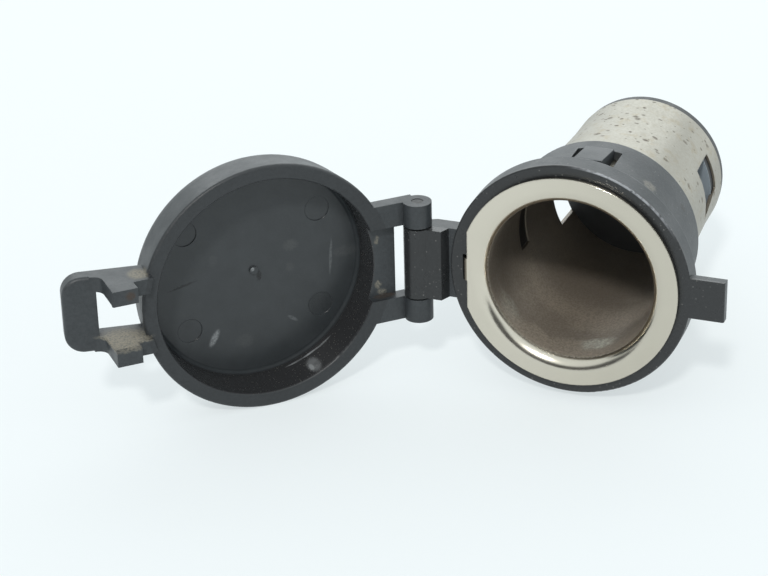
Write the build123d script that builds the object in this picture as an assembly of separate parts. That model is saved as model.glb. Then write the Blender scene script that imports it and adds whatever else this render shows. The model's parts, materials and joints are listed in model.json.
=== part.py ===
"""Vehicle 12 V power socket with a hinged cap, in millimetres.

The socket's axis is Y: the mouth faces -Y and the rear is +Y. The origin lies on that axis, in the face
of the panel that the collar's rim bears on. The hinge stands at -X with its axis along Z, and the catch
is at +X. The cap is drawn closed and then swung open about the hinge.
"""
import os
from math import cos, radians, sin, sqrt, tan

from build123d import *

overcut = 1.0               # cutters past the faces they open

# Drawn shell
bore_radius = 10.5
sheet = 0.55
socket_depth = 31.0         # front of the flange to the insulator
tube_taper = 0.65           # radius lost between the sleeve and the insulator
seat_step = 0.25            # counterbore that the insulator stops on
mouth_round = 1.75
flange_width = 3.36         # bore to the edge of the flange
flat_depth = 0.96           # flange cut back on the hinge side
key_width = 3.0
key_depth = 2.2
key_round = 0.44
window_tilt = 10.0          # angle of the window pair from the X axis
window_width = 6.85
window_length = 5.8         # along the upper edge
window_slant = 2.05         # width of the slanted side
window_lap = 1.2            # window over the insulator
slot_front = 13.4           # front of the flange to the latch slots
slot_length = 2.9
slot_width = 6.2
tail_width = 6.3            # ground blade
tail_length = 9.0
tail_nose = 1.2

# Collar
rim_margin = 1.42           # flange edge to the edge of the rim
rim_thickness = 3.25
rim_edge = 0.2
rear_edge = 0.5
land_height = 0.2           # seat under the flange
land_margin = 0.45          # flange overhang past the seat
shell_clearance = 0.1
sleeve_wall = 1.15
sleeve_tail = 0.1           # sleeve past the latch slots
snap_clearance = 0.2        # round hooks, key and ground tail
hook_recess = 0.15          # hook behind the wall of the bore
tongue_width = 3.55
tongue_slit = 1.1
tongue_tip = 4.2            # panel face to the free end
tongue_root = 9.7           # panel face to the hinged end
tongue_rise = 0.8
tongue_flat = 0.4           # blunt end of the barb
tongue_step = 0.15          # barb above the sleeve at the hinged end

# Catch
catch_length = 4.12         # past the edge of the rim
catch_half = 2.63
catch_thickness = 1.25
catch_round = 0.27
catch_root = 1.0            # depth into the rim

# Hinge
hinge_offset = 4.32         # edge of the rim to the pin
hinge_drop = 0.86           # behind the front of the flange
pin_radius = 0.75
pin_clearance = 0.05
pin_recess = 0.05
barrel_wall = 1.05
barrel_half = 4.7
knuckle_gap = 0.2
knuckle_length = 3.1
block_proud = 0.2           # block front before the front of the flange
block_skirt = 0.74          # block behind the barrel
block_end = 0.92            # end of the block front, past the edge of the rim
block_slant = 0.6           # width of the slanted face down to the ledge
ledge_drop = 0.45           # ledge behind the front of the rim

# Cap
open_angle = 136.2
cap_gap = 0.3               # closed cap to the rim
cap_overhang = 1.0          # past the edge of the rim
cap_taper = 0.9
cap_wall = 1.97
cap_top = 1.4
hollow_depth = 5.8
hollow_taper = 0.14
hollow_round = 0.4
cap_round = 3.0
cap_lip_round = 0.35
notch_depth = 1.3           # cap's rim cut back between the hinge arms
arm_thickness = 1.8
web_clearance = 0.65        # web to the barrel
web_thickness = 1.5
swing_clearance = 0.4       # legs outside the collar's rim
ejector_x = 8.7
ejector_z = 6.6
ejector_radius = 1.6
ejector_depth = 0.12
gate_radius = 0.55
gate_height = 0.25

# Latch loop
catch_clearance = 0.41      # each side of the catch
loop_side = 1.96
loop_bar = 4.1
eye_clearance = 1.5         # end of the catch to the bar
loop_corner = 2.4
loop_edge = 0.45
loop_slope = 11.0
loop_thickness = 2.3
loop_setback = 1.55         # plate front behind the rim plane, at the wall
leg_start = 2.07            # past the edge of the collar's rim
leg_margin = 1.1            # past the end of the catch
leg_root_round = 1.3
leg_reach = 2.55            # past the rim plane
heel_reach = 0.85
nib_rise = 0.19
nib_size = 0.7
nib_setback = 0.15          # nib behind the closed catch

# Insulator, contact and terminal
plug_length = 4.4           # insulator inside the tube
insulator_flange = 1.7
insulator_inset = 0.12      # flange edge inside the tube's outside
insulator_clearance = 0.05
insulator_round = 0.6
pocket_margin = 0.6         # round the contact
head_recess = 0.3           # rivet head below the insulator's face
contact_radius = 5.0
contact_thickness = 0.6
contact_dish = 0.35
rivet_radius = 1.5
rivet_brim = 0.9
rivet_head = 0.7
rivet_round = 0.35
blade_width = 6.3
blade_thickness = 0.8
blade_length = 8.0
blade_nose = 1.2
blade_bend = 0.4
foot_drop = 2.0             # rivet head to the outside of the bend
foot_margin = 1.0           # rivet head to the end of the foot

# Radii and reaches from the axis
tube_radius = bore_radius + sheet
rear_bore = bore_radius - tube_taper
rear_radius = tube_radius - tube_taper
seat_radius = rear_bore + seat_step
flange_radius = bore_radius + flange_width
flange_flat = flange_radius - flat_depth
sleeve_bore = tube_radius + shell_clearance
sleeve_radius = sleeve_bore + sleeve_wall
rim_radius = flange_radius + rim_margin
cap_radius = rim_radius + cap_overhang
hollow_radius = cap_radius - cap_wall
wall_middle = cap_radius - cap_wall / 2
barrel_radius = pin_radius + barrel_wall
hinge_x = -rim_radius - hinge_offset
web_x = hinge_x + barrel_radius + web_clearance
catch_reach = rim_radius + catch_length
leg_near = rim_radius + leg_start
leg_far = catch_reach + leg_margin
loop_gap_half = catch_half + catch_clearance
loop_half = loop_gap_half + loop_side
loop_eye_reach = catch_reach + eye_clearance
loop_reach = loop_eye_reach + loop_bar
rivet_head_radius = rivet_radius + rivet_brim
cut_from = bore_radius / 2
cut_to = 2 * rim_radius

# Levels along the axis
rim_front = -rim_thickness
land_front = rim_front - land_height
flange_front = land_front - sheet
slot_y = flange_front + slot_front
sleeve_rear = slot_y + slot_length + sleeve_tail
base_front = flange_front + socket_depth
tube_rear = base_front + plug_length
insulator_rear = tube_rear + insulator_flange
pocket_floor = base_front + contact_thickness + rivet_head + head_recess
hinge_y = flange_front + hinge_drop
catch_rear = rim_front + catch_thickness
rim_plane = rim_front - cap_gap
notch_plane = rim_plane - notch_depth

# Heights
knuckle_near = barrel_half + knuckle_gap
knuckle_far = knuckle_near + knuckle_length
tail_bottom = -sqrt(rear_radius**2 - (tail_width / 2)**2)


def box(x0, x1, y0, y1, z0, z1):
    """Block between two corners."""
    return Pos((x0 + x1) / 2, (y0 + y1) / 2, (z0 + z1) / 2) * Box(x1 - x0, y1 - y0, z1 - z0)


def outline(*points):
    """Flat face through points in the XY plane."""
    return make_face(Polyline(*points, close=True))


def rounded(face, *corners):
    """Face with the corners (x, y, radius) rounded."""
    for x, y, radius in corners:
        corner = face.vertices().sort_by_distance((x, y, 0))[0]
        face = fillet(corner, radius)
    return face


def turned(face):
    """Solid of revolution about the socket's axis, from a face in radius and height."""
    return revolve(face, Axis.Y)


def ring(outer, inner, y0, y1):
    """Plain ring about the socket's axis."""
    return turned(outline((inner, y0), (outer, y0), (outer, y1), (inner, y1)))


def slab(face, z0, z1):
    """Face in the XY plane made solid between two heights."""
    return Pos(0, 0, z0) * extrude(face, amount=z1 - z0)


def across(x0, x1, *points):
    """Prism along X over an outline in Y and Z."""
    return Pos(x0, 0, 0) * extrude(Plane.YZ * outline(*points), amount=x1 - x0, dir=(1, 0, 0))


def both_sides(solid):
    """Solid and its mirror image across the plane of symmetry."""
    return solid + mirror(solid, Plane.XY)


def post(x, y, radius, z0, z1):
    """Upright cylinder."""
    return Pos(x, y, (z0 + z1) / 2) * Cylinder(radius, z1 - z0)


def round_bar(radius, y0, y1):
    """Cylinder along the socket's axis."""
    return Pos(0, (y0 + y1) / 2, 0) * Rot(90, 0, 0) * Cylinder(radius, y1 - y0)


def around(angle, solid):
    """Solid drawn on the +X side, carried round the axis, up through +Z."""
    return Rot(0, -angle, 0) * solid


def blade_plan(width, start, end, nose):
    """Outline of a flat blade with a chamfered end."""
    half = width / 2
    return outline((-half, start), (half, start), (half, end - nose), (half - nose, end),
                   (nose - half, end), (-half, end - nose))


def socket_shell():
    """Drawn tube with a bell-mouthed flange, windows, latch slots, key tab and ground tail."""
    shell = turned(shell_section())
    edge = flange_radius + overcut
    shell -= box(-edge, -flange_flat, flange_front - overcut, land_front + overcut, -edge, edge)
    for turn in (0, 180):
        shell -= around(turn + window_tilt, window_cut())
        shell -= around(turn, slot_cut())
    return shell + key_tab() + ground_tail()


def shell_section():
    """Half section of the tube and its flange."""
    bend = bore_radius + mouth_round
    bend_y = flange_front + mouth_round
    section = Curve() + [
        CenterArc((bend, bend_y), mouth_round, 180, 90),
        Polyline((bend, flange_front), (flange_radius, flange_front),
                 (flange_radius, land_front), (bend, land_front)),
        CenterArc((bend, bend_y), mouth_round - sheet, 180, 90),
        Polyline((tube_radius, bend_y), (tube_radius, sleeve_rear), (rear_radius, base_front),
                 (rear_radius, tube_rear), (seat_radius, tube_rear), (seat_radius, base_front),
                 (rear_bore, base_front), (bore_radius, sleeve_rear), (bore_radius, bend_y)),
    ]
    return make_face(section)


def window_cut():
    """Cut for a window with one slanted side, drawn on the +X side."""
    half = window_width / 2
    rear = base_front + window_lap
    front = rear - window_length
    return across(cut_from, cut_to, (front, half), (rear, half), (rear, window_slant - half), (front, -half))


def slot_cut():
    """Cut for a latch slot, drawn on the +X side."""
    return box(cut_from, cut_to, slot_y, slot_y + slot_length, -slot_width / 2, slot_width / 2)


def key_tab():
    """Tab bent back from the flat of the flange."""
    outside = -flange_flat - sheet
    rear = flange_front + key_depth
    tab = outline((-flange_flat, flange_front), (-flange_flat, rear),
                  (outside, rear), (outside, flange_front))
    return slab(rounded(tab, (outside, flange_front, key_round)), -key_width / 2, key_width / 2)


def ground_tail():
    """Blade that runs back from the lower edge of the tube."""
    start = tube_rear - sheet
    blade = slab(blade_plan(tail_width, start, insulator_rear + tail_length, tail_nose),
                 tail_bottom, tail_bottom + sheet)
    return blade - round_bar(seat_radius, start - overcut, tube_rear)


def mounting_collar():
    """Bezel rim and sleeve with snap tongues, inner hooks, hinge barrel and catch."""
    collar = turned(collar_section())
    for turn in (90, 270):
        collar -= around(turn, tongue_cut())
        collar += around(turn, tongue_barb())
    for turn in (0, 180):
        collar += around(turn, hook())
    collar -= key_pocket()
    collar += hinge_block() + catch()
    return collar - post(hinge_x, hinge_y, pin_radius + pin_clearance, -knuckle_far, knuckle_far)


def collar_section():
    """Half section of the rim, the seat under the flange and the sleeve."""
    land_radius = flange_radius - land_margin
    section = outline((sleeve_bore, land_front), (land_radius, land_front), (land_radius, rim_front),
                      (rim_radius, rim_front), (rim_radius, 0), (sleeve_radius, 0),
                      (sleeve_radius, sleeve_rear), (sleeve_bore, sleeve_rear))
    return rounded(section, (sleeve_bore, land_front, mouth_round - sheet + shell_clearance),
                   (rim_radius, rim_front, rim_edge), (rim_radius, 0, rear_edge),
                   (sleeve_radius, sleeve_rear, rear_edge))


def tongue_cut():
    """U-shaped cut that frees a snap tongue, drawn on the +X side."""
    half = tongue_width / 2
    wide = half + tongue_slit
    cut = box(cut_from, cut_to, tongue_tip - tongue_slit, tongue_root, -wide, wide)
    return cut - box(cut_from, cut_to, tongue_tip, tongue_root, -half, half)


def tongue_barb():
    """Ramp on a snap tongue, highest at its free end."""
    base = sleeve_radius - sleeve_wall / 2
    top = sleeve_radius + tongue_rise
    ramp = outline((base, tongue_tip), (top, tongue_tip), (top, tongue_tip + tongue_flat),
                   (sleeve_radius + tongue_step, tongue_root), (base, tongue_root))
    return slab(ramp, -tongue_width / 2, tongue_width / 2)


def hook():
    """Pad inside the sleeve that sits in a latch slot of the shell."""
    half = slot_width / 2 - snap_clearance
    front = slot_y + snap_clearance
    rear = slot_y + slot_length - snap_clearance
    pad = box(cut_from, sleeve_radius, front, rear, -half, half)
    return pad & ring(sleeve_radius - sleeve_wall / 2, bore_radius + hook_recess, front, rear)


def key_pocket():
    """Notch in the collar's seat for the key tab."""
    half = key_width / 2 + snap_clearance
    return box(-flange_flat - sheet - snap_clearance, -flange_flat + snap_clearance,
               flange_front, flange_front + key_depth + snap_clearance, -half, half)


def hinge_block():
    """Barrel and the block that carries it, on the collar."""
    front = flange_front - block_proud
    rear = hinge_y + barrel_radius + block_skirt
    end = -rim_radius - block_end
    ledge = rim_front + ledge_drop
    inside = rim_edge - sqrt(rim_radius**2 - barrel_half**2)
    block = outline((hinge_x, front), (end, front), (end + block_slant, ledge), (inside, ledge),
                    (inside, rear), (hinge_x + barrel_radius, rear), (hinge_x, hinge_y + barrel_radius))
    barrel = post(hinge_x, hinge_y, barrel_radius, -barrel_half, barrel_half)
    return slab(block, -barrel_half, barrel_half) + barrel


def catch():
    """Plate that the latch loop straddles, flush with the front of the rim."""
    root = rim_radius - catch_root
    plate = outline((root, rim_front), (catch_reach, rim_front), (catch_reach, catch_rear),
                    (root, catch_rear))
    plate = rounded(plate, (catch_reach, rim_front, catch_round))
    return slab(plate, -catch_half, catch_half)


def cap():
    """Cap swung open about the hinge."""
    return Pos(hinge_x, hinge_y, 0) * Rot(0, 0, -open_angle) * Pos(-hinge_x, -hinge_y, 0) * closed_cap()


def closed_cap():
    """Round cap with hinge arms and latch loop, in its closed place."""
    floor = rim_plane - hollow_depth
    cap = turned(cap_section())
    cap -= box(-cap_radius, 0, notch_plane, 0, -knuckle_near, knuckle_near)
    cap += hinge_arms() + loop_plate() + both_sides(loop_leg())
    for x in (-ejector_x, ejector_x):
        for z in (-ejector_z, ejector_z):
            cap -= Pos(x, 0, z) * round_bar(ejector_radius, floor - ejector_depth, floor + ejector_depth)
    return cap + round_bar(gate_radius, floor - gate_height, floor + gate_height)


def cap_section():
    """Half section of the cap."""
    floor = rim_plane - hollow_depth
    top = floor - cap_top
    top_radius = cap_radius - cap_taper
    floor_radius = hollow_radius - hollow_taper
    section = outline((0, top), (top_radius, top), (cap_radius, rim_plane), (hollow_radius, rim_plane),
                      (floor_radius, floor), (0, floor))
    return rounded(section, (top_radius, top, cap_round), (cap_radius, rim_plane, cap_lip_round),
                   (hollow_radius, rim_plane, cap_lip_round), (floor_radius, floor, hollow_round))


def collar_swing():
    """Space that the closed legs keep clear of, round the collar's rim."""
    return round_bar(rim_radius + swing_clearance, rim_plane, rim_plane + cap_radius)


def hinge_arms():
    """Two arms with knuckles and the web between them."""
    rear = rim_plane - arm_thickness
    arm = box(hinge_x, 0, rear, rim_plane, knuckle_near, knuckle_far)
    arm -= round_bar(wall_middle, rear - overcut, rim_plane + overcut)
    arm += post(hinge_x, hinge_y, barrel_radius, knuckle_near, knuckle_far)
    arm -= post(hinge_x, hinge_y, pin_radius, 0, knuckle_far + overcut)
    web = box(web_x, 0, notch_plane - web_thickness, notch_plane, -knuckle_near, knuckle_near)
    web -= round_bar(wall_middle, notch_plane - web_thickness - overcut, notch_plane + overcut)
    return both_sides(arm) + web


def loop_middle(x):
    """Level of the middle of the loop's sloping plate, at a distance from the axis."""
    return rim_plane - loop_setback - loop_thickness / 2 - (x - cap_radius) * tan(radians(loop_slope))


def loop_front(x):
    """Level of the plate's face on the collar's side, at a distance from the axis."""
    return loop_middle(x) + loop_thickness / 2 / cos(radians(loop_slope))


def loop_plate():
    """Sloping plate of the latch loop with its eye."""
    slope = radians(loop_slope)
    lie = Plane(origin=(cap_radius, loop_middle(cap_radius), 0), x_dir=(cos(slope), -sin(slope), 0),
                z_dir=(-sin(slope), -cos(slope), 0))
    near = sqrt(wall_middle**2 - loop_half**2) - cap_radius
    far = (loop_reach - cap_radius) / cos(slope)
    eye_far = (loop_eye_reach - cap_radius) / cos(slope)
    plan = outline((near, -loop_half), (far, -loop_half), (far, loop_half), (near, loop_half))
    plan = rounded(plan, (far, -loop_half, loop_corner), (far, loop_half, loop_corner))
    plate = slab(plan, -loop_thickness / 2, loop_thickness / 2)
    levels = plate.edges().group_by(Axis.Z)
    plate = fillet(levels[0] + levels[-1], loop_edge)
    plate -= box(near - overcut, eye_far, -loop_gap_half, loop_gap_half, -loop_thickness, loop_thickness)
    return lie.location * plate


def loop_leg():
    """Upper leg beside the loop's eye, with the nib that snaps past the catch."""
    near = sqrt(wall_middle**2 - loop_half**2)
    heel = rim_plane + heel_reach
    tip = rim_plane + leg_reach
    foot = leg_far + leg_root_round
    profile = outline((near, loop_middle(near)), (near, heel), (leg_near, heel), (leg_near, tip),
                      (leg_far, tip), (leg_far, loop_front(leg_far)), (foot, loop_front(foot)),
                      (foot, loop_middle(foot)))
    profile = rounded(profile, (leg_far, loop_front(leg_far), leg_root_round))
    leg = slab(profile, loop_gap_half, loop_half) - collar_swing()
    nib = catch_rear + nib_setback
    return leg + across(leg_near, leg_far, (nib, loop_gap_half),
                        (nib + nib_size / 2, loop_gap_half - nib_rise), (nib + nib_size, loop_gap_half))


def hinge_pin():
    """Plain pin, sunk a little in both knuckles."""
    return post(hinge_x, hinge_y, pin_radius, pin_recess - knuckle_far, knuckle_far - pin_recess)


def rear_insulator():
    """Plug that closes the tube, with a pocket for the contact."""
    plug_radius = seat_radius - insulator_clearance
    edge_radius = rear_radius - insulator_inset
    pocket_radius = contact_radius + pocket_margin
    section = outline((rivet_radius, pocket_floor), (pocket_radius, pocket_floor),
                      (pocket_radius, base_front), (plug_radius, base_front),
                      (plug_radius, tube_rear), (edge_radius, tube_rear),
                      (edge_radius, insulator_rear), (rivet_radius, insulator_rear))
    plug = turned(rounded(section, (edge_radius, insulator_rear, insulator_round)))
    half = tail_width / 2 + snap_clearance
    front = tube_rear - sheet - snap_clearance
    return plug - box(-half, half, front, insulator_rear + overcut, -rear_radius,
                      tail_bottom + sheet + snap_clearance)


def centre_contact():
    """Dished spring plate in the insulator's pocket."""
    flat = (rivet_head_radius + contact_radius) / 2
    rear = pocket_floor
    front = pocket_floor - contact_thickness
    return turned(outline((rivet_radius, rear), (flat, rear), (contact_radius, rear - contact_dish),
                          (contact_radius, front - contact_dish), (flat, front), (rivet_radius, front)))


def contact_rivet():
    """Rivet through the contact, the insulator and the positive terminal."""
    front = pocket_floor - contact_thickness
    rear = insulator_rear + blade_thickness
    section = outline((0, front - rivet_head), (rivet_head_radius, front - rivet_head),
                      (rivet_head_radius, front), (rivet_radius, front), (rivet_radius, rear),
                      (rivet_head_radius, rear), (rivet_head_radius, rear + rivet_head),
                      (0, rear + rivet_head))
    return turned(rounded(section, (rivet_head_radius, front - rivet_head, rivet_round),
                          (rivet_head_radius, rear + rivet_head, rivet_round)))


def positive_terminal():
    """Blade bent back from a foot that the rivet holds on the insulator."""
    half = blade_width / 2
    face = insulator_rear
    bottom = -rivet_head_radius - foot_drop
    foot = box(-half, half, face, face + blade_thickness, bottom, rivet_head_radius + foot_margin)
    plan = blade_plan(blade_width, face, face + blade_length, blade_nose)
    blade = slab(plan, bottom, bottom + blade_thickness)
    bend = (foot + blade).edges().filter_by(Axis.X).sort_by_distance((0, face, bottom))[0]
    hole = round_bar(rivet_radius, face - overcut, face + blade_thickness + overcut)
    return fillet(bend, blade_bend) - hole


pieces = {
    "socket_shell": socket_shell,
    "mounting_collar": mounting_collar,
    "cap": cap,
    "hinge_pin": hinge_pin,
    "rear_insulator": rear_insulator,
    "centre_contact": centre_contact,
    "contact_rivet": contact_rivet,
    "positive_terminal": positive_terminal,
}

os.makedirs("parts", exist_ok=True)
for name, make in pieces.items():
    export_step(make(), f"parts/{name}.step")
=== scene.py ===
"""Looks of the vehicle power socket: its materials, the floor, the light and the camera.

Blender objects are in metres. Materials work in millimetres, in the frame of the part: the socket's axis is
Y with the mouth towards -Y, the hinge is at -X, the catch at +X, and +Z is up. The cap's material works in
the place that the closed cap has, where its axis is the socket's axis.
"""
import json
from math import cos, radians, sin
from typing import NamedTuple

import bpy
from mathutils import Matrix, Vector


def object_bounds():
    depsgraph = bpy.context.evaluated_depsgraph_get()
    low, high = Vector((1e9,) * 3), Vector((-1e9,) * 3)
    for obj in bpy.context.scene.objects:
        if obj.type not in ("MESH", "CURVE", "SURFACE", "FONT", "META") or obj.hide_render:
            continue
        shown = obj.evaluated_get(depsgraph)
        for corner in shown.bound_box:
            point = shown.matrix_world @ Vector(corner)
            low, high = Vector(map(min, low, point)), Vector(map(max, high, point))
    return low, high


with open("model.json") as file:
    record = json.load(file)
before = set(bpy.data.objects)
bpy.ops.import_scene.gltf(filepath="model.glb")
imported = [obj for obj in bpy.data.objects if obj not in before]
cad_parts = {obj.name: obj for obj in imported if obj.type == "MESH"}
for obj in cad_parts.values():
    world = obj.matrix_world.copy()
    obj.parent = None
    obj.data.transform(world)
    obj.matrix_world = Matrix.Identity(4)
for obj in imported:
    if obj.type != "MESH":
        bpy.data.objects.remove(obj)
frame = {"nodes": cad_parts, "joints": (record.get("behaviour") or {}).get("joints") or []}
cad_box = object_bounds()

millimetre = 0.001

# Camera: its place in metres, angles in degrees, and the sensor in millimetres
photo_width = 768
camera_place = Vector((0.07920, -0.26558, 0.13579))
camera_azimuth = 21.521
camera_elevation = 26.474
camera_roll = -1.552
camera_nearest = 0.01
focal_pixels = 2500
sensor_width = 36

# Light: directions as azimuth and elevation seen from the part, lengths in metres and powers in watts
key_direction = (10, 44)
key_distance = 1.0
key_strength = 1.6
key_angle = 6                           # width of the key lamp as seen from the part, in degrees
key_colour = (1.0, 0.98, 0.95)
back_direction = (-160, 30)
back_distance = 1.0
back_size = (1.3, 0.8)
back_power = 4.5
side_direction = (125, 15)
side_distance = 1.0
side_size = (1.0, 0.5)
side_power = 1.8
soft_colour = (0.95, 0.99, 1.0)
backdrop_colour = (0.88, 0.945, 0.96, 1)
ambient_colour = (0.68, 0.72, 0.74, 1)
room_colour = (0.10, 0.105, 0.11, 1)    # dark room before the part, seen in its metal
room_front = (-0.3, -0.7)               # Y of the directions between which the room comes in
room_height = (20, 30)                  # elevations at which the room gives way to the backdrop

# Floor
floor_half = 4.0
floor_colour = (0.80, 0.84, 0.85, 1)
floor_roughness = 0.9
floor_glow = 0.62           # share of the floor that shows as plain backdrop

# Places on the shell and the insulator
bore_radius = 10.5
sheet = 0.55
mid_sheet = 0.3             # past this depth in the sheet a face counts as the outside
skin = 0.03                 # the sheet's cut edges show from this depth under its faces
film_front = -3.1           # the film in the bore starts here, on the lip
tube_front = 4.0            # the outside of the tube starts here, behind the flange
taper_start = 12.4          # the tube narrows from here
taper_end = 27.0            # to here, where the insulator's face is
tube_taper = 0.65           # by this in radius
flat_reach = -12.9          # the key tab lies past this on the hinge side
lit_side = 4.5            # the insulator's face is painted lighter past this, where light falls through the window on the catch's side

# Places on the collar
rim_front = -3.25
rim_radius = 15.28
hook_reach = 11.1           # the hooks lie inside this radius

# Places on the closed cap
cap_radius = 16.28
hollow_radius = 14.3
hollow_floor = -9.35
rim_plane = -3.55

# Fine structure
noise_low = 0.3             # most of a noise lies between these
noise_high = 0.7
plastic_cloud = 4.0         # size of the clouds in the black plastic
plastic_grain = 0.25        # size of the grain on the mouldings
mark_start = 1.25           # a mark fades in from this many half sizes
mark_core = 0.55            # and is at full strength from here inwards
mark_breaks = 0.35          # strength that is left where the surface of a mark is broken
bevel_samples = 4

# Colours of the shell. A pair holds the ends of a range
# the flange's range also carries a painted reflection, paler towards the hinge side
flange_nickels = ((0.565, 0.527, 0.445, 1), (0.71, 0.662, 0.565, 1))
tube_nickels = ((0.30, 0.285, 0.243, 1), (0.375, 0.36, 0.318, 1))
tube_stain = (0.29, 0.25, 0.175, 1)
bare_metal = (0.20, 0.175, 0.14, 1)
corrosion_brown = (0.10, 0.08, 0.058, 1)
film_browns = ((0.44, 0.375, 0.30, 1), (0.55, 0.48, 0.395, 1))
# The next three are painted light in the bore: a dark reflection behind the lip, shade above and at the
# rear, and pale lit patches
reflection_brown = (0.25, 0.215, 0.175, 1)
shaded_brown = (0.11, 0.095, 0.08, 1)
lit_grey = (0.71, 0.71, 0.615, 1)
grain_brown = (0.19, 0.165, 0.135, 1)

# Colours of the plastics
plastic_blacks = ((0.019, 0.0225, 0.0248, 1), (0.033, 0.0382, 0.0418, 1))
mottle_grey = (0.055, 0.062, 0.067, 1)
collar_rim_black = (0.012, 0.011, 0.0105, 1)
# painted glints on the grain
sparkle_grey = (0.38, 0.37, 0.35, 1)
# painted highlight on the rim's front edge
highlight_grey = (0.50, 0.52, 0.55, 1)
smudge_beige = (0.38, 0.36, 0.30, 1)
# dark scuffs, and painted shade on the hooks
scuff_and_shade_black = (0.012, 0.010, 0.009, 1)
hollow_blacks = ((0.0205, 0.0236, 0.0257, 1), (0.0385, 0.0439, 0.0475, 1))
wall_black = (0.026, 0.0266, 0.028, 1)
cap_rim_black = (0.010, 0.0105, 0.012, 1)
dust_beige = (0.36, 0.34, 0.29, 1)
haze_grey = (0.36, 0.36, 0.33, 1)
# pale scuffs, and painted highlights on the cap
scuff_and_glint_grey = (0.40, 0.42, 0.43, 1)
dirt_beige = (0.33, 0.30, 0.23, 1)
rust_brown = (0.05, 0.036, 0.027, 1)
scratch_black = (0.006, 0.006, 0.006, 1)
insulator_blacks = ((0.024, 0.026, 0.027, 1), (0.040, 0.043, 0.045, 1))
# painted light on the insulator's face
insulator_lit_grey = (0.175, 0.205, 0.23, 1)

# Colours of the small metal pieces
pin_greys = ((0.05, 0.05, 0.05, 1), (0.10, 0.10, 0.10, 1))
contact_nickels = ((0.40, 0.37, 0.31, 1), (0.56, 0.53, 0.46, 1))
rivet_brasses = ((0.40, 0.28, 0.12, 1), (0.60, 0.45, 0.22, 1))
terminal_brasses = ((0.45, 0.34, 0.16, 1), (0.66, 0.52, 0.28, 1))

# Corrosion spots on the tube: size of the cells, share of them with a spot, and spot radius in cells
tube_spot_sizes = (
    (3.0, 0.45, 0.17),
    (2.1, 0.45, 0.15),
    (1.3, 0.35, 0.12),
)


class Mark(NamedTuple):
    """Soft-edged patch on a surface: middle, half sizes, turn about the axis and strength."""
    middle: tuple
    half: tuple
    turn: float
    strength: float


# Marks on the cap, and painted highlights on it
beige_dirt = (
    Mark((-14.8, -4.85, 2.9), (0.35, 0.5, 0.6), 0, 0.4),
    Mark((-14.8, -4.85, -3.2), (0.4, 0.5, 0.6), 0, 0.45),
    Mark((-15.2, -4.85, -4.3), (0.6, 0.5, 0.5), 0, 0.4),
    Mark((16.2, -4.6, 5.0), (1.3, 1.5, 0.8), 0, 0.6),
    Mark((18.8, -4.0, -3.04), (3.4, 3.2, 0.4), 0, 0.75),
)
pale_scuffs_and_glint = (
    Mark((5.6, hollow_floor, -8.35), (1.25, 0.5, 0.45), -61, 0.42),
    Mark((-10.3, hollow_floor, -0.3), (2.5, 0.4, 0.2), -86, 0.14),
    Mark((-4.9, hollow_floor, -7.8), (0.8, 0.4, 0.25), 36, 0.14),
    # painted highlight on the top of the gate nub
    Mark((0.2, hollow_floor + 0.25, 0.2), (0.25, 0.4, 0.25), 0, 0.5),
)
# painted highlights on the hollow's wall and along its fillet
wall_glints = (
    Mark((-4.6, -8.1, -13.4), (1.4, 0.17, 1.4), 0, 0.5),
    Mark((-6.5, -8.1, -12.6), (1.4, 0.18, 1.4), 0, 0.7),
    Mark((-8.2, -8.0, -11.6), (1.4, 0.17, 1.4), 0, 0.5),
    Mark((-6.1, -5.6, -12.9), (0.9, 1.7, 0.9), 0, 0.3),
    Mark((-5.7, -5.4, -13.1), (0.35, 0.9, 0.4), 0, 0.6),
)
floor_haze = (
    Mark((-5.0, hollow_floor, 2.4), (1.0, 0.4, 0.8), 0, 1.0),
    Mark((-4.8, hollow_floor, -0.6), (0.6, 0.4, 0.7), 0, 0.7),
    Mark((-12.3, hollow_floor, 0.1), (1.7, 0.4, 0.8), 0, 0.8),
    Mark((1.6, hollow_floor, -9.5), (1.3, 0.4, 1.0), 0, 0.7),
    Mark((5.2, hollow_floor, 2.3), (0.6, 0.4, 0.9), 0, 0.5),
)
dark_scratches = (
    Mark((9.3, hollow_floor, -0.3), (1.9, 0.4, 0.16), -12, 0.8),
    Mark((-0.7, hollow_floor, -0.9), (0.35, 0.4, 0.8), 0, 0.9),
    Mark((-8.7, hollow_floor - 0.05, -6.6), (1.7, 0.4, 1.7), 0, 0.3),
    Mark((8.7, hollow_floor - 0.05, -6.6), (1.6, 0.4, 1.6), 0, 0.15),
)
brown_bits = (
    Mark((18.3, -1.0, 4.1), (0.65, 0.4, 0.6), 0, 1.0),
    Mark((-15.6, -4.7, -4.9), (1.6, 0.6, 0.3), 0, 0.8),
)

# Painted light in the bore, and marks on the sleeve
bore_light_patches = (
    Mark((2.8, 0.7, -10.1), (2.6, 1.6, 1.4), 0, 1.0),
    Mark((-8.5, -0.6, -6.1), (1.6, 1.6, 2.2), 0, 0.35),
)
sleeve_smudges = (
    Mark((7.4, 6.0, 9.8), (1.0, 0.9, 0.9), 0, 0.35),
)
sleeve_scuffs = (
    Mark((10.8, 9.4, 5.9), (0.5, 0.5, 0.7), 0, 0.8),
)


def is_socket(value):
    """True for the end of another node, False for a plain number or colour."""
    return isinstance(value, bpy.types.NodeSocket)


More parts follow.
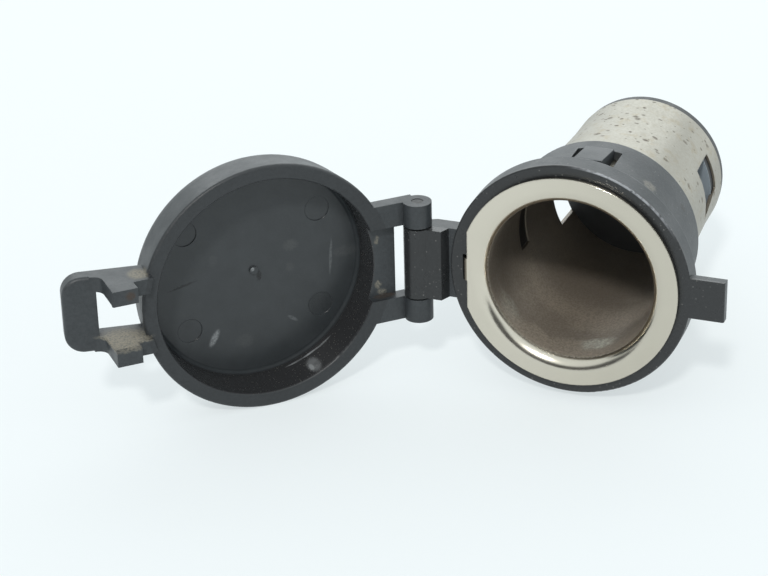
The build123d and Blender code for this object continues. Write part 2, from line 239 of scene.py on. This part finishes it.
class Nodes:
    """Tree of shader nodes. Its methods add nodes and return the sockets that hold their results."""

    def __init__(self, tree):
        self.tree = tree

    def add(self, kind, inputs, **settings):
        """Node of a kind, with its settings made and its inputs fed."""
        node = self.tree.nodes.new(kind)
        for name, value in settings.items():
            setattr(node, name, value)
        for name, value in inputs.items():
            self.feed(node.inputs[name], value)
        return node

    def feed(self, socket, value):
        """Links or sets one input."""
        if is_socket(value):
            self.tree.links.new(value, socket)
        else:
            socket.default_value = value

    def place(self):
        """Place on the surface in millimetres, in the frame of the part at rest."""
        coordinates = self.add("ShaderNodeTexCoord", {})
        return self.scaled(coordinates.outputs["Object"], 1 / millimetre)

    def scaled(self, vector, factor):
        """Vector times one number."""
        node = self.add("ShaderNodeVectorMath", {"Vector": vector, "Scale": factor}, operation="SCALE")
        return node.outputs["Vector"]

    def stretched(self, vector, factors):
        """Vector with each of its numbers times a factor of its own."""
        node = self.add("ShaderNodeVectorMath", {0: vector, 1: factors}, operation="MULTIPLY")
        return node.outputs["Vector"]

    def turned(self, vector, centre, axis, angle):
        """Vector turned about an axis through a centre."""
        node = self.add("ShaderNodeVectorRotate", {"Vector": vector, "Center": centre, "Axis": axis,
                                                   "Angle": radians(angle)})
        return node.outputs["Vector"]

    def parts(self, vector):
        """The vector's three numbers."""
        node = self.add("ShaderNodeSeparateXYZ", {"Vector": vector})
        return node.outputs["X"], node.outputs["Y"], node.outputs["Z"]

    def length(self, vector):
        """Length of the vector."""
        node = self.add("ShaderNodeVectorMath", {"Vector": vector}, operation="LENGTH")
        return node.outputs["Value"]

    def radius(self, place):
        """Distance from the socket's axis."""
        return self.length(self.stretched(place, (1, 0, 1)))

    def unrolled(self, place):
        """Place on the tube laid flat: millimetres round it and along it."""
        x, y, z = self.parts(place)
        round_it = self.times(self.math("ARCTAN2", z, x), bore_radius)
        return self.add("ShaderNodeCombineXYZ", {"X": round_it, "Y": y}).outputs["Vector"]

    def math(self, operation, first, second):
        """Result of an operation on two numbers."""
        node = self.add("ShaderNodeMath", {0: first, 1: second}, operation=operation)
        return node.outputs["Value"]

    def times(self, *values):
        """Product of two or more values."""
        product = values[0]
        for value in values[1:]:
            product = self.math("MULTIPLY", product, value)
        return product

    def plus(self, *values):
        """Sum of two or more values."""
        total = values[0]
        for value in values[1:]:
            total = self.math("ADD", total, value)
        return total

    def either(self, *masks):
        """The strongest of some masks."""
        strongest = masks[0]
        for mask in masks[1:]:
            strongest = self.math("MAXIMUM", strongest, mask)
        return strongest

    def ramp(self, value, start, end, low=0.0, high=1.0):
        """Goes smoothly from low to high as the value goes from start to end."""
        node = self.add("ShaderNodeMapRange", {"Value": value, "From Min": start, "From Max": end,
                                               "To Min": low, "To Max": high},
                        interpolation_type="SMOOTHSTEP")
        return node.outputs["Result"]

    def past(self, value, edge, fade):
        """Mask of where a value lies past an edge, at full strength once past the fade."""
        return self.ramp(value, edge, edge + fade)

    def short_of(self, value, edge, fade):
        """Mask of where a value lies short of an edge, at full strength once past the fade."""
        return self.ramp(value, edge, edge - fade)

    def spread(self, noise, low, high):
        """Number that goes from low to high with a noise."""
        return self.ramp(noise, noise_low, noise_high, low, high)

    def slope(self, value, start, end, high):
        """Goes evenly from 0 to high as the value goes from start to end."""
        node = self.add("ShaderNodeMapRange", {"Value": value, "From Min": start, "From Max": end,
                                               "To Max": high})
        return node.outputs["Result"]

    def mixed(self, share, first, second):
        """Colour that goes from the first to the second as the share goes from 0 to 1."""
        node = self.add("ShaderNodeMix", {0: share, 6: first, 7: second}, data_type="RGBA")
        return node.outputs[2]

    def between(self, share, first, second):
        """Number that goes from the first to the second as the share goes from 0 to 1."""
        node = self.add("ShaderNodeMix", {0: share, 2: first, 3: second}, data_type="FLOAT")
        return node.outputs[0]

    def noise(self, place, size, detail=2, roughness=0.5):
        """Cloudy noise from 0 to 1 with grains of about that many millimetres."""
        node = self.add("ShaderNodeTexNoise", {"Vector": place, "Scale": 1 / size, "Detail": detail,
                                               "Roughness": roughness})
        return node.outputs["Fac"]

    def warped(self, place, size, push):
        """Place pushed about by noise, which breaks up even shapes."""
        node = self.add("ShaderNodeTexNoise", {"Vector": place, "Scale": 1 / size})
        centred = self.add("ShaderNodeVectorMath", {0: node.outputs["Color"], 1: (0.5, 0.5, 0.5)},
                           operation="SUBTRACT")
        shift = self.scaled(centred.outputs["Vector"], push)
        return self.add("ShaderNodeVectorMath", {0: place, 1: shift}, operation="ADD").outputs["Vector"]

    def spots(self, place, cell, share, size, dimensions="3D"):
        """Scattered round spots: a share of the cells holds one each, with a radius in cells."""
        node = self.add("ShaderNodeTexVoronoi", {"Vector": place, "Scale": 1 / cell},
                        voronoi_dimensions=dimensions)
        chance = self.parts(node.outputs["Color"])[0]
        chosen = self.past(chance, 1 - share, 0.01)
        return self.times(chosen, self.ramp(node.outputs["Distance"], size, size / 3))

    def mark(self, place, mark):
        """Mask of one soft-edged patch."""
        moved = self.add("ShaderNodeVectorMath", {0: place, 1: mark.middle}, operation="SUBTRACT")
        lying = self.turned(moved.outputs["Vector"], (0, 0, 0), (0, 1, 0), mark.turn)
        reach = self.length(self.stretched(lying, tuple(1 / half for half in mark.half)))
        return self.ramp(reach, mark_start, mark_core, 0.0, mark.strength)

    def marks(self, place, marks, size, push):
        """Mask of some patches with edges pushed about by noise of a size, and a broken surface."""
        ragged = self.warped(place, size, push)
        patches = self.either(*[self.mark(ragged, mark) for mark in marks])
        return self.times(patches, self.ramp(self.noise(place, size / 2, 3), 0.3, 0.6, mark_breaks, 1.0))

    def soft_edges(self, radius):
        """Surface normal with the edges rounded by some millimetres."""
        node = self.add("ShaderNodeBevel", {"Radius": radius * millimetre}, samples=bevel_samples)
        return node.outputs["Normal"]

    def bump(self, height, depth, normal):
        """Normal of a surface on which a height of 1 stands out by some millimetres."""
        node = self.add("ShaderNodeBump", {"Height": height, "Distance": depth * millimetre,
                                           "Normal": normal})
        return node.outputs["Normal"]


class Look(Nodes):
    """Material with a principled shader."""

    def __init__(self, name):
        self.material = bpy.data.materials.new(name)
        self.material.use_nodes = True
        super().__init__(self.material.node_tree)
        self.shader = self.tree.nodes["Principled BSDF"]

    def finish(self, **inputs):
        """Feeds the shader, with the spaces in its input names written as _."""
        for name, value in inputs.items():
            self.feed(self.shader.inputs[name.replace("_", " ")], value)
        return self.material


def plated_shell():
    """Nickel plate: satin and spotted on the tube, smooth on the flange with a painted reflection, and
    brown inside the bore with painted light and shade.
    """
    look = Look("plated_shell")
    place = look.place()
    x = look.parts(place)[0]
    outside, inside, bare = shell_zones(look, place)
    cloud = look.noise(place, 3.0, detail=4, roughness=0.6)
    fine = look.noise(place, 0.35)
    corrosion = look.times(tube_spots(look, place), outside)
    specks = look.times(look.spots(place, cell=1.3, share=0.08, size=0.10), look.ramp(outside, 1, 0))
    dirt = look.either(corrosion, specks)

    # painted reflection: the flange is drawn paler towards the hinge side, where the floor before it shows
    # in the metal
    painted_sheen = look.ramp(x, bore_radius, -bore_radius)
    tone_and_sheen = look.plus(look.times(cloud, 0.4), look.times(painted_sheen, 0.6))
    colour = look.mixed(tone_and_sheen, *flange_nickels)
    colour = look.mixed(outside, colour, tube_colour(look, place, cloud))
    colour = look.mixed(inside, colour, bore_tarnish_and_light(look, place))
    colour = look.mixed(bare, colour, bare_metal)
    colour = look.mixed(look.times(dirt, 0.72), colour, corrosion_brown)

    flange_roughness = look.spread(cloud, 0.17, 0.23)
    tube_roughness = look.spread(fine, 0.4, 0.5)
    bore_roughness = look.spread(fine, 0.30, 0.42)
    roughness = look.between(outside, flange_roughness, tube_roughness)
    roughness = look.between(inside, roughness, bore_roughness)
    roughness = look.between(dirt, roughness, 0.75)
    metallic = look.between(inside, look.between(dirt, 1.0, 0.3), 0.5)

    plate_grain = look.times(fine, look.ramp(outside, 0, 1, 0.12, 0.5))
    film_grain = look.times(look.noise(place, 0.22, roughness=0.7), inside, 2.2)
    height = look.plus(plate_grain, film_grain, look.times(dirt, -0.6))
    normal = look.bump(height, 0.02, look.soft_edges(0.22))
    return look.finish(Base_Color=colour, Metallic=metallic, Roughness=roughness, Normal=normal)


def shell_zones(look, place):
    """Masks of the tube's outside, of the bore, and of the bare metal on the key tab and the cut edges."""
    x, y = look.parts(place)[:2]
    reach = look.plus(look.radius(place), look.slope(y, taper_start, taper_end, tube_taper))
    on_tube = look.past(y, tube_front, 1.0)
    outside = look.times(look.past(reach, bore_radius + mid_sheet, 0.1), on_tube)
    inside = look.times(look.short_of(reach, bore_radius + mid_sheet + 0.1, 0.1),
                        look.past(y, film_front, 0.55))
    cut_edge = look.times(look.past(reach, bore_radius + skin, 0.05), on_tube,
                          look.short_of(reach, bore_radius + sheet - skin, 0.05))
    key_tab = look.short_of(x, flat_reach, 0.05)
    return outside, inside, look.either(key_tab, cut_edge)


def tube_colour(look, place, cloud):
    """Grey plate of the tube with beige stains."""
    plate = look.mixed(cloud, *tube_nickels)
    stain = look.ramp(look.noise(place, 1.8, detail=4, roughness=0.65), 0.5, 0.72, 0.0, 0.55)
    return look.mixed(stain, plate, tube_stain)


def bore_tarnish_and_light(look, place):
    """Brown film in the bore, grainy all over, with painted light: pale lit patches by the mouth, a painted
    dark reflection behind the lip, and painted shade above and at the rear.
    """
    y, z = look.parts(place)[1:]
    drift = look.plus(y, look.spread(look.noise(place, 4.0), -1.5, 1.5))
    # painted reflection: a dark belt behind the lip, where the dark room shows in the metal
    dark_reflection = look.times(look.past(drift, -1.0, 3.0), look.short_of(drift, 8.0, 6.0), 0.6)
    # painted shade above and towards the rear of the bore
    shade_above = look.times(look.past(z, -8.0, 7.0), 0.7)
    shade_deep = look.times(look.past(y, 7.0, 8.0), 0.6)
    # painted light: pale patches by the mouth, where light falls
    glow = look.marks(place, bore_light_patches, size=1.2, push=1.0)
    grain = look.ramp(look.noise(place, 0.28, roughness=0.7), 0.35, 0.65)

    film = look.mixed(look.noise(place, 5.0, detail=3), *film_browns)
    film = look.mixed(dark_reflection, film, reflection_brown)
    film = look.mixed(look.either(shade_above, shade_deep), film, shaded_brown)
    film = look.mixed(glow, film, lit_grey)
    return look.mixed(look.times(grain, 0.5), film, grain_brown)


def tube_spots(look, place):
    """Corrosion spots of three sizes, drawn out round the tube."""
    ragged = look.stretched(look.warped(look.unrolled(place), size=0.6, push=0.45), (0.9, 1.1, 1))
    layers = [look.spots(ragged, *sizes, dimensions="2D") for sizes in tube_spot_sizes]
    broken = look.ramp(look.noise(place, 0.3), 0.25, 0.6, 0.4, 1.0)
    return look.times(look.either(*layers), broken)


def black_plastic(look, place):
    """Colour of the black moulding, cloudy and finely mottled."""
    cloud = look.noise(place, plastic_cloud, detail=4, roughness=0.6)
    mottle = look.spread(look.noise(place, 0.4, detail=3, roughness=0.7), 0.0, 0.34)
    return look.mixed(mottle, look.mixed(cloud, *plastic_blacks), mottle_grey)


def collar_plastic():
    """Black moulding with a fine grain, scuffs and painted glints on its grains, smoother on the front of
    the rim, with a painted highlight along the rim's front edge and painted shade on the hooks.
    """
    look = Look("collar_plastic")
    place = look.place()
    y = look.parts(place)[1]
    rim_face = look.short_of(y, rim_front + 0.5, 0.3)
    # painted shade: the hooks are drawn darker, as they sit in shade in the slots
    hook_shade = look.short_of(look.radius(place), hook_reach + 0.1, 0.1)
    smudge = look.marks(place, sleeve_smudges, size=0.6, push=0.8)
    scuff = look.marks(place, sleeve_scuffs, size=0.35, push=0.5)
    # painted glints: pale grains standing in for grains that catch the light
    sparkle = look.times(look.spots(place, cell=0.42, share=0.25, size=0.3),
                         look.ramp(look.noise(place, 2.5), 0.35, 0.6),
                         look.ramp(rim_face, 0, 1, 0.2, 0.3))

    colour = black_plastic(look, place)
    colour = look.mixed(look.times(rim_face, 0.6), colour, collar_rim_black)
    colour = look.mixed(sparkle, colour, sparkle_grey)
    # painted highlight along the front edge of the rim, where the light catches its rounding
    colour = look.mixed(look.times(rim_highlight(look, place), 0.55), colour, highlight_grey)
    colour = look.mixed(smudge, colour, smudge_beige)
    # dark scuffs, and painted shade on the hooks
    colour = look.mixed(look.either(scuff, hook_shade), colour, scuff_and_shade_black)

    cloud = look.noise(place, plastic_cloud, detail=4, roughness=0.6)
    roughness = look.plus(look.spread(cloud, 0.40, 0.50), look.times(smudge, 0.3),
                          look.times(rim_face, -0.16))
    normal = look.bump(look.noise(place, plastic_grain), 0.025, look.soft_edges(0.1))
    return look.finish(Base_Color=colour, Roughness=roughness, Normal=normal)


def rim_highlight(look, place):
    """Mask of a painted highlight along the front edge of the collar's rim, at the top on the catch's side.
    """
    x, y, z = look.parts(place)
    edge = look.times(look.past(look.radius(place), rim_radius - 0.28, 0.12),
                      look.short_of(y, rim_front + 0.25, 0.13))
    stretch = look.times(look.past(z, 7.0, 5.0), look.past(x, -1.0, 5.0))
    broken = look.ramp(look.noise(place, 0.7, detail=3), 0.3, 0.55, 0.2, 1.0)
    return look.times(edge, stretch, broken)


def cap_plastic():
    """Black moulding: grained outside, smooth on the hollow's floor and glossy on its wall, with dirt and
    painted highlights on the wall and the gate nub.
    """
    look = Look("cap_plastic")
    place = closed_place(look)
    hollow, wall, fillet, rim_face = cap_zones(look, place)
    cloud = look.noise(place, 2.5, detail=5, roughness=0.65)
    dirt = look.marks(place, beige_dirt, size=0.5, push=0.7)
    scuff = look.marks(place, pale_scuffs_and_glint, size=0.6, push=0.15)
    haze = look.marks(place, floor_haze, size=0.35, push=0.6)
    glint = look.marks(place, wall_glints, size=4.0, push=0.0)
    scratch = look.marks(place, dark_scratches, size=0.3, push=0.3)
    rust = look.marks(place, brown_bits, size=0.3, push=0.4)
    dust_and_painted_light = cap_dust(look, place, hollow, wall)

    colour = black_plastic(look, place)
    colour = look.mixed(hollow, colour, look.mixed(cloud, *hollow_blacks))
    colour = look.mixed(look.times(rim_face, 0.4), colour, cap_rim_black)
    colour = look.mixed(wall, colour, wall_black)
    colour = look.mixed(look.times(dust_and_painted_light, 0.2), colour, dust_beige)
    colour = look.mixed(look.times(haze, 0.05), colour, haze_grey)
    # pale scuffs, and painted highlights on the wall and the gate nub
    colour = look.mixed(look.either(scuff, glint), colour, scuff_and_glint_grey)
    colour = look.mixed(dirt, colour, dirt_beige)
    colour = look.mixed(rust, colour, rust_brown)
    colour = look.mixed(scratch, colour, scratch_black)

    smear = look.noise(look.stretched(place, (0.5, 1, 0.16)), 0.8, detail=4, roughness=0.6)
    roughness = look.between(hollow, look.spread(cloud, 0.42, 0.52), look.spread(smear, 0.30, 0.36))
    roughness = look.between(wall, roughness, 0.25)
    roughness = look.between(fillet, roughness, 0.55)
    roughness = look.between(look.either(dirt, rust, dust_and_painted_light), roughness, 0.8)
    shine = look.ramp(fillet, 0, 1, 0.5, 0.1)

    grain = look.times(look.noise(place, plastic_grain), look.ramp(hollow, 0, 1, 1.0, 0.08))
    height = look.plus(grain, look.times(dirt, 1.5), look.times(scratch, -2.0))
    normal = look.bump(height, 0.018, look.soft_edges(0.1))
    return look.finish(Base_Color=colour, Roughness=roughness, Specular_IOR_Level=shine, Normal=normal)


def closed_place(look):
    """Place on the cap in millimetres, where the surface lies when the cap is closed."""
    hinge = frame["joints"][0]
    centre = tuple(part / millimetre for part in hinge["pos_m"])
    return look.turned(look.place(), centre, hinge["axis"], hinge["range_deg"][0])


def cap_zones(look, place):
    """Masks of the cap's hollow, of the hollow's wall and fillet, and of the front of the rim."""
    y = look.parts(place)[1]
    radius = look.radius(place)
    hollow = look.times(look.short_of(radius, hollow_radius + 0.15, 0.1),
                        look.past(y, hollow_floor - 0.5, 0.2))
    wall = look.times(hollow, look.past(y, hollow_floor + 0.2, 0.4))
    fillet = look.times(hollow, look.past(radius, hollow_radius - 0.8, 0.3),
                        look.short_of(y, hollow_floor + 0.6, 0.15))
    rim_face = look.times(look.past(y, rim_plane - 0.6, 0.3), look.past(radius, hollow_radius, 0.1),
                          look.short_of(radius, cap_radius + 0.1, 0.1))
    return hollow, wall, fillet, rim_face


def cap_dust(look, place, hollow, wall):
    """Mask of the dust in the hollow, most of it on the wall."""
    fine = look.spots(place, cell=0.24, share=0.25, size=0.36)
    coarse = look.spots(place, cell=0.6, share=0.15, size=0.2)
    drifts = look.ramp(look.noise(place, 1.6, detail=3), 0.35, 0.6, 0.15, 1.0)
    return look.times(look.either(fine, coarse), look.ramp(wall, 0, 1, 0.12, 1.0), hollow, drifts)


def pin_steel():
    """Dull steel wire with a dark film."""
    look = Look("pin_steel")
    place = look.place()
    film = look.noise(place, 0.6, detail=3)
    colour = look.mixed(film, *pin_greys)
    roughness = look.spread(film, 0.45, 0.6)
    normal = look.bump(look.noise(place, 0.15), 0.01, look.soft_edges(0.1))
    return look.finish(Base_Color=colour, Metallic=1.0, Roughness=roughness, Normal=normal)


def insulator_plastic():
    """Dark heat-proof moulding with a faint mottle, and painted light on its face where light falls through
    the catch's side window.
    """
    look = Look("insulator_plastic")
    place = look.place()
    x, y = look.parts(place)[:2]
    mottle = look.noise(place, 1.2, detail=4, roughness=0.6)
    # painted light: the face is drawn paler where light falls through the window on the catch's side
    dust_and_painted_light = look.times(look.past(x, lit_side, 2.0), look.short_of(y, taper_end + 0.25, 0.2))
    colour = look.mixed(dust_and_painted_light, look.mixed(mottle, *insulator_blacks), insulator_lit_grey)
    roughness = look.spread(mottle, 0.42, 0.55)
    normal = look.bump(look.noise(place, plastic_grain), 0.015, look.soft_edges(0.15))
    return look.finish(Base_Color=colour, Roughness=roughness, Normal=normal)


def contact_metal():
    """Nickel-plated spring plate with a film and a fine grain."""
    look = Look("contact_metal")
    place = look.place()
    grain = look.noise(place, 0.3)
    film = look.noise(place, 1.5, detail=3)
    colour = look.mixed(film, *contact_nickels)
    roughness = look.spread(grain, 0.28, 0.42)
    normal = look.bump(grain, 0.01, look.soft_edges(0.1))
    return look.finish(Base_Color=colour, Metallic=1.0, Roughness=roughness, Normal=normal)


def brass(name, dull, bright):
    """Brass with a film that goes from dull to bright, and lines along the socket's axis."""
    look = Look(name)
    place = look.place()
    film = look.noise(place, 1.4, detail=4, roughness=0.6)
    lines = look.noise(look.stretched(place, (1, 0.08, 1)), 0.2)
    colour = look.mixed(look.spread(film, 0.0, 1.0), dull, bright)
    roughness = look.plus(look.spread(film, 0.42, 0.28), look.spread(lines, 0.0, 0.08))
    normal = look.bump(lines, 0.008, look.soft_edges(0.12))
    return look.finish(Base_Color=colour, Metallic=1.0, Roughness=roughness, Normal=normal)


def dress(node, material):
    """Gives a node of the part its material."""
    slots = frame["nodes"][node].data.materials
    slots.clear()
    slots.append(material)


def direction(azimuth, elevation):
    """Unit vector from the part towards an azimuth, from the front to the right, and an elevation."""
    level = cos(radians(elevation))
    return Vector((sin(radians(azimuth)) * level, -cos(radians(azimuth)) * level, sin(radians(elevation))))


def lamp(name, kind, aim, distance, **settings):
    """Lamp that shines at the part from a direction and doesn't show in the picture."""
    data = bpy.data.lights.new(name, kind)
    for setting, value in settings.items():
        setattr(data, setting, value)
    light = bpy.data.objects.new(name, data)
    back = direction(*aim)
    light.location = back * distance
    light.rotation_euler = back.to_track_quat("Z", "Y").to_euler()
    light.visible_camera = False
    bpy.context.scene.collection.objects.link(light)


def light_world():
    """White backdrop that lights the part a little less than it shows, with a dark room before the part."""
    world = bpy.data.worlds.new("studio")
    world.use_nodes = True
    nodes = Nodes(world.node_tree)
    outward = nodes.add("ShaderNodeTexCoord", {}).outputs["Generated"]
    y, z = nodes.parts(outward)[1:]
    low, high = (sin(radians(elevation)) for elevation in room_height)
    room = nodes.times(nodes.ramp(y, *room_front), nodes.ramp(z, high, low))
    rays = nodes.add("ShaderNodeLightPath", {}).outputs
    mirrored = nodes.mixed(room, backdrop_colour, room_colour)
    colour = nodes.mixed(rays["Is Glossy Ray"], ambient_colour, mirrored)
    colour = nodes.mixed(rays["Is Camera Ray"], colour, backdrop_colour)
    nodes.feed(world.node_tree.nodes["Background"].inputs["Color"], colour)
    bpy.context.scene.world = world


def lay_floor():
    """Plain pale floor under the lowest point of the part."""
    height = cad_box[0].z
    corners = [(-floor_half, -floor_half, height), (floor_half, -floor_half, height),
               (floor_half, floor_half, height), (-floor_half, floor_half, height)]
    mesh = bpy.data.meshes.new("floor")
    mesh.from_pydata(corners, [], [(0, 1, 2, 3)])
    floor = bpy.data.objects.new("floor", mesh)
    bpy.context.scene.collection.objects.link(floor)
    mesh.materials.append(floor_paper())


def floor_paper():
    """Pale paper that keeps shadows and shows partly as plain backdrop, straight or in a reflection."""
    paper = Look("floor_paper")
    rays = paper.add("ShaderNodeLightPath", {}).outputs
    shown = paper.either(rays["Is Camera Ray"], rays["Is Glossy Ray"])
    glow = paper.add("ShaderNodeEmission", {"Color": backdrop_colour}).outputs["Emission"]
    surface = paper.add("ShaderNodeMixShader", {0: paper.times(shown, floor_glow),
                                                1: paper.shader.outputs["BSDF"], 2: glow})
    paper.feed(paper.tree.nodes["Material Output"].inputs["Surface"], surface.outputs["Shader"])
    return paper.finish(Base_Color=floor_colour, Roughness=floor_roughness, Specular_IOR_Level=0.0)


def set_camera():
    """Camera at the photograph's angle."""
    data = bpy.data.cameras.new("camera")
    data.sensor_width = sensor_width
    data.lens = focal_pixels / photo_width * sensor_width
    data.clip_start = camera_nearest
    camera = bpy.data.objects.new("camera", data)
    turn = Matrix.Rotation(radians(camera_azimuth), 4, "Z")
    tilt = Matrix.Rotation(radians(90 - camera_elevation), 4, "X")
    roll = Matrix.Rotation(radians(camera_roll), 4, "Z")
    camera.matrix_world = Matrix.Translation(camera_place) @ turn @ tilt @ roll
    bpy.context.scene.collection.objects.link(camera)
    bpy.context.scene.camera = camera


dress("socket_shell", plated_shell())
dress("mounting_collar", collar_plastic())
dress("cap", cap_plastic())
dress("hinge_pin", pin_steel())
dress("rear_insulator", insulator_plastic())
dress("centre_contact", contact_metal())
dress("contact_rivet", brass("rivet_brass", *rivet_brasses))
dress("positive_terminal", brass("terminal_brass", *terminal_brasses))

lay_floor()
light_world()
lamp("key", "SUN", key_direction, key_distance, energy=key_strength, angle=radians(key_angle),
     color=key_colour)
lamp("back", "AREA", back_direction, back_distance, energy=back_power, shape="RECTANGLE",
     size=back_size[0], size_y=back_size[1], color=soft_colour)
lamp("side", "AREA", side_direction, side_distance, energy=side_power, shape="RECTANGLE",
     size=side_size[0], size_y=side_size[1], color=soft_colour)
set_camera()
bpy.context.scene.view_settings.view_transform = "Standard"
